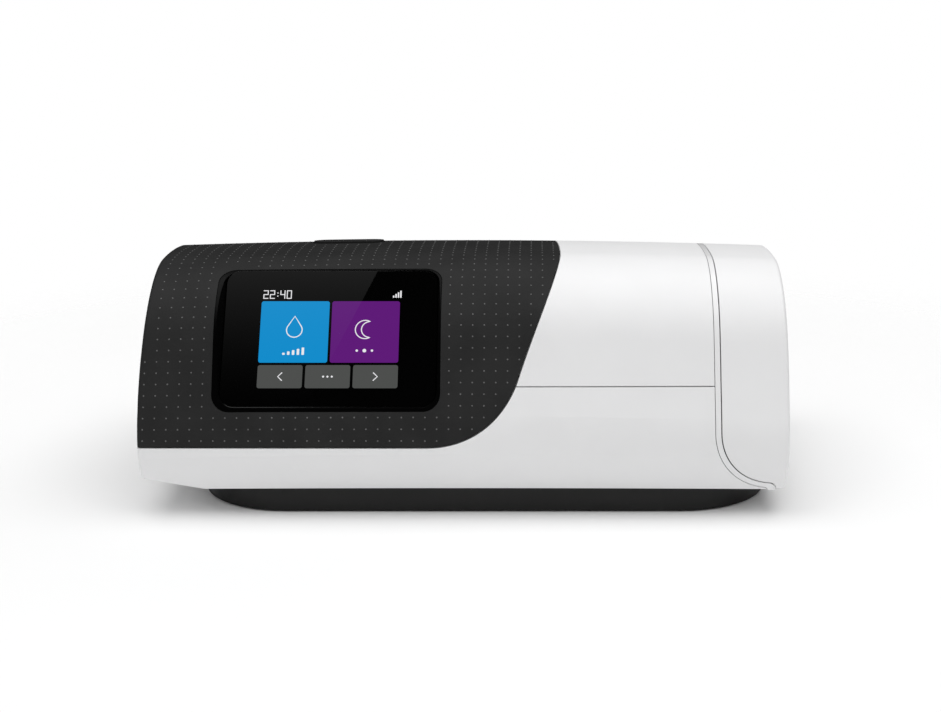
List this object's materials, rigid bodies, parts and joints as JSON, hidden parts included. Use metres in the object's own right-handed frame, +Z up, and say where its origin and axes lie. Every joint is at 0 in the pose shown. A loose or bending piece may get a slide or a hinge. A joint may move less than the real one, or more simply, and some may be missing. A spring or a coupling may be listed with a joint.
{
  "type": "cpap machine",
  "caption": "Bedside positive airway pressure machine with a leaning touch screen, start button, sliding water tub, filter and card doors, fan and hose outlet.",
  "frame": {"origin": "middle of the footprint, on the surface that the machine stands on", "axes": "+X to the right seen from the screen side, towards the water tub; +Y to the rear; +Z up"},
  "size_m": [0.2594, 0.1386, 0.0945],
  "materials": {
    "white_shell": "fine satin",
    "fascia_black": "satin with raised dots",
    "base_black": "satin",
    "gloss_black": "gloss",
    "cover_glass": "gloss",
    "rubber_grey": "matte",
    "rim_white": "gloss",
    "clear_tub": "clear moulded plastic",
    "silicone": "matte",
    "metal_plate": "brushed",
    "steel": "satin",
    "copper": "enamelled wire",
    "circuit_green": "solder mask",
    "chip_black": "satin",
    "foam_grey": "open foam",
    "filter_white": "fibre pad",
    "inner_grey": "satin",
    "contact": "plated"
  },
  "bodies": {
    "machine": {"upper_housing": "white_shell", "lower_housing": "white_shell", "front_fascia": "fascia_black", "base_tray": "base_black", "rubber_feet": "rubber_grey", "case_screws": "steel", "display_bezel": "gloss_black", "display_glass": "cover_glass", "lcd_module": "metal_plate", "display_frame": "inner_grey", "board_screws": "steel", "main_board": "circuit_green", "board_chips": "chip_black", "cell_module": "metal_plate", "display_flex": "contact", "button_board": "circuit_green", "tact_switch": "chip_black", "blower_base": "inner_grey", "blower_cover": "inner_grey", "motor_stator": "steel", "motor_coils": "copper", "motor_plate": "inner_grey", "motor_bearings": "steel", "blower_mounts": "silicone", "muffler_box": "inner_grey", "acoustic_foam": "foam_grey", "air_filter": "filter_white", "inlet_duct": "silicone", "flow_sensor": "chip_black", "tub_port_seals": "silicone", "air_outlet": "inner_grey", "tub_bay_liner": "base_black", "tub_bay_rim": "rim_white", "heater_plate": "metal_plate", "heater_insulator": "inner_grey", "heater_pads": "silicone", "filter_door_pin": "steel", "card_door_pin": "steel", "card_board": "circuit_green", "card_socket": "metal_plate", "memory_card": "chip_black", "power_inlet": "base_black", "power_pin": "contact"},
    "tub": {"tub_body": "clear_tub", "tub_seal": "silicone", "tub_lid": "clear_tub", "tub_heat_plate": "metal_plate", "tub_hinge_pin": "steel", "tub_end_cap": "white_shell"},
    "button": {"start_button": "fascia_black", "button_dome": "silicone"},
    "filter_door": {"filter_door": "white_shell"},
    "card_door": {"card_door": "white_shell"},
    "fan_rotor": {"impeller": "rim_white", "motor_shaft": "steel", "motor_rotor": "chip_black"}
  },
  "joints": [
    {"name": "tub_slide", "type": "slide", "parent": "machine", "child": "tub", "axis": [1, 0, 0], "range_m": [0, 0.115]},
    {"name": "start_button_press", "type": "slide", "parent": "machine", "child": "button", "axis": [0, 0, -1], "range_m": [0, 0.001], "stiffness_N_per_m": 800, "springref_m": -0.0003, "deforming": ["button_dome"]},
    {"name": "filter_door_hinge", "type": "hinge", "parent": "machine", "child": "filter_door", "pos_m": [-0.085, 0.06815, 0.0181], "axis": [-1, 0, 0], "range_deg": [0, 85]},
    {"name": "card_door_hinge", "type": "hinge", "parent": "machine", "child": "card_door", "pos_m": [-0.1288, 0.036, 0.0209], "axis": [0, -1, 0], "range_deg": [0, 85]},
    {"name": "fan_spin", "type": "hinge", "parent": "machine", "child": "fan_rotor", "pos_m": [-0.052, 0.008, 0.036], "axis": [0, 0, 1], "continuous": true}
  ]
}
